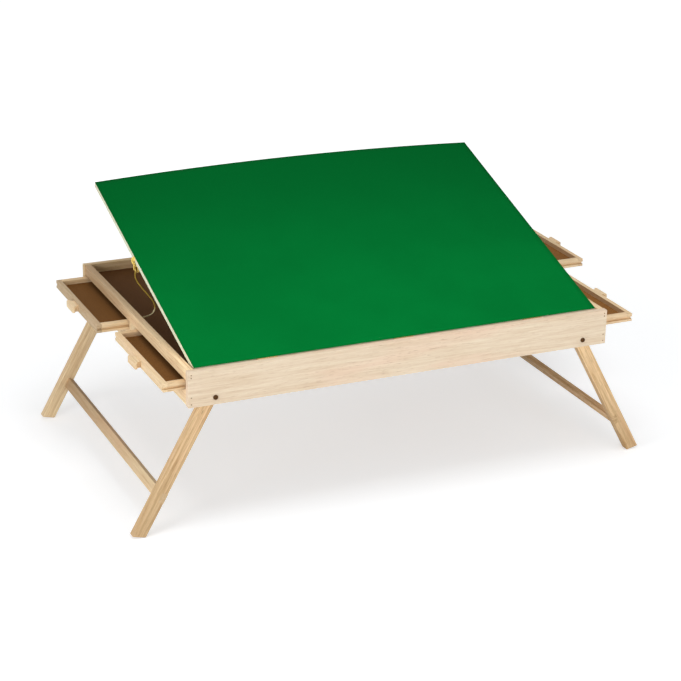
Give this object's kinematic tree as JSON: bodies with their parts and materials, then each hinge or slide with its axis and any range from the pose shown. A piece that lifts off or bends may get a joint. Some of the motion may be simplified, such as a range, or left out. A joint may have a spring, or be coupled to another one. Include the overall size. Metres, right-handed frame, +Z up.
{
  "type": "jigsaw puzzle table with drawers",
  "caption": "Folding tabletop puzzle table: a shallow wooden tray on splayed folding legs, a felt-topped lid that tilts up on a prop, and flat drawers that pull out of both ends.",
  "frame": {"origin": "Middle of the tray's plan, on the floor that the feet stand on.", "axes": "+X along the length to the right-hand end as seen from the hinged front, +Y from the hinged front board to the back board, +Z up."},
  "size_m": [1.1117, 0.6252, 0.5059],
  "materials": {
    "tray_wood": "sanded clear pine, open grain",
    "leg_wood": "sanded clear pine, a little darker",
    "drawer_wood": "sanded clear pine",
    "batten_wood": "sanded pale pine",
    "plywood": "thin birch plywood",
    "hardboard": "smooth brown hardboard",
    "felt": "green felt, glued down",
    "cord": "yellow twisted cord",
    "dark_steel": "blackened steel",
    "zinc_steel": "zinc plated steel",
    "brass": "brass plated"
  },
  "bodies": {
    "tray": {"back_board": "tray_wood", "bottom_rails": "tray_wood", "centre_beam": "tray_wood", "cross_bars": "tray_wood", "drawer_runners": "tray_wood", "frame_nails": "dark_steel", "front_board": "tray_wood", "left_top_rail": "tray_wood", "leg_bolts": "dark_steel", "leg_nuts": "zinc_steel", "leg_stop_blocks": "tray_wood", "lid_hinge_fixed_leaves": "brass", "lid_hinge_pins": "brass", "lid_hinge_screws": "brass", "lid_rest_blocks": "tray_wood", "prop_rest_strips": "batten_wood", "right_top_rail": "tray_wood", "stay_cord": "cord", "tray_panel": "hardboard"},
    "left_legs": {"left_back_leg": "leg_wood", "left_front_leg": "leg_wood", "left_stretcher": "leg_wood"},
    "right_legs": {"right_back_leg": "leg_wood", "right_front_leg": "leg_wood", "right_stretcher": "leg_wood"},
    "lid": {"lid_felt": "felt", "lid_panel": "plywood", "lid_long_battens": "batten_wood", "lid_side_battens": "batten_wood", "prop_batten": "batten_wood", "lid_hinge_moving_leaves": "brass", "lid_screws": "brass", "prop_hinge_lid_leaves": "brass", "prop_hinge_pins": "brass", "cord_knot": "cord"},
    "prop": {"prop_top_bar": "batten_wood", "prop_foot_bar": "batten_wood", "prop_arms": "batten_wood", "prop_hinge_prop_leaves": "brass", "prop_screws": "brass"},
    "left_front_drawer": {"left_front_drawer_back": "drawer_wood", "left_front_drawer_bottom": "hardboard", "left_front_drawer_front": "drawer_wood", "left_front_drawer_handle": "drawer_wood", "left_front_drawer_sides": "drawer_wood"},
    "left_back_drawer": {"left_back_drawer_back": "drawer_wood", "left_back_drawer_bottom": "hardboard", "left_back_drawer_front": "drawer_wood", "left_back_drawer_handle": "drawer_wood", "left_back_drawer_sides": "drawer_wood"},
    "right_front_drawer": {"right_front_drawer_back": "drawer_wood", "right_front_drawer_bottom": "hardboard", "right_front_drawer_front": "drawer_wood", "right_front_drawer_handle": "drawer_wood", "right_front_drawer_sides": "drawer_wood"},
    "right_back_drawer": {"right_back_drawer_back": "drawer_wood", "right_back_drawer_bottom": "hardboard", "right_back_drawer_front": "drawer_wood", "right_back_drawer_handle": "drawer_wood", "right_back_drawer_sides": "drawer_wood"}
  },
  "joints": [
    {"name": "lid_tilt", "type": "hinge", "parent": "tray", "child": "lid", "pos_m": [0, -0.29475, 0.3115], "axis": [1, 0, 0], "range_deg": [-18, 6], "deforming": ["stay_cord"]},
    {"name": "prop_fold", "type": "hinge", "parent": "lid", "child": "prop", "pos_m": [0, 0.02448, 0.40418], "axis": [1, 0, 0], "range_deg": [-18, 6]},
    {"name": "left_legs_fold", "type": "hinge", "parent": "tray", "child": "left_legs", "pos_m": [-0.374, 0, 0.259], "axis": [0, -1, 0], "range_deg": [0, 118.9]},
    {"name": "right_legs_fold", "type": "hinge", "parent": "tray", "child": "right_legs", "pos_m": [0.374, 0, 0.259], "axis": [0, 1, 0], "range_deg": [0, 118.9]},
    {"name": "left_front_drawer_slide", "type": "slide", "parent": "tray", "child": "left_front_drawer", "axis": [-1, 0, 0], "range_m": [-0.042, 0.298]},
    {"name": "left_back_drawer_slide", "type": "slide", "parent": "tray", "child": "left_back_drawer", "axis": [-1, 0, 0], "range_m": [-0.062, 0.278]},
    {"name": "right_front_drawer_slide", "type": "slide", "parent": "tray", "child": "right_front_drawer", "axis": [1, 0, 0], "range_m": [-0.07, 0.27]},
    {"name": "right_back_drawer_slide", "type": "slide", "parent": "tray", "child": "right_back_drawer", "axis": [1, 0, 0], "range_m": [-0.147, 0.193]}
  ],
  "couplings": [
    {"joint": "prop_fold", "follows": "lid_tilt", "ratio": 1}
  ]
}
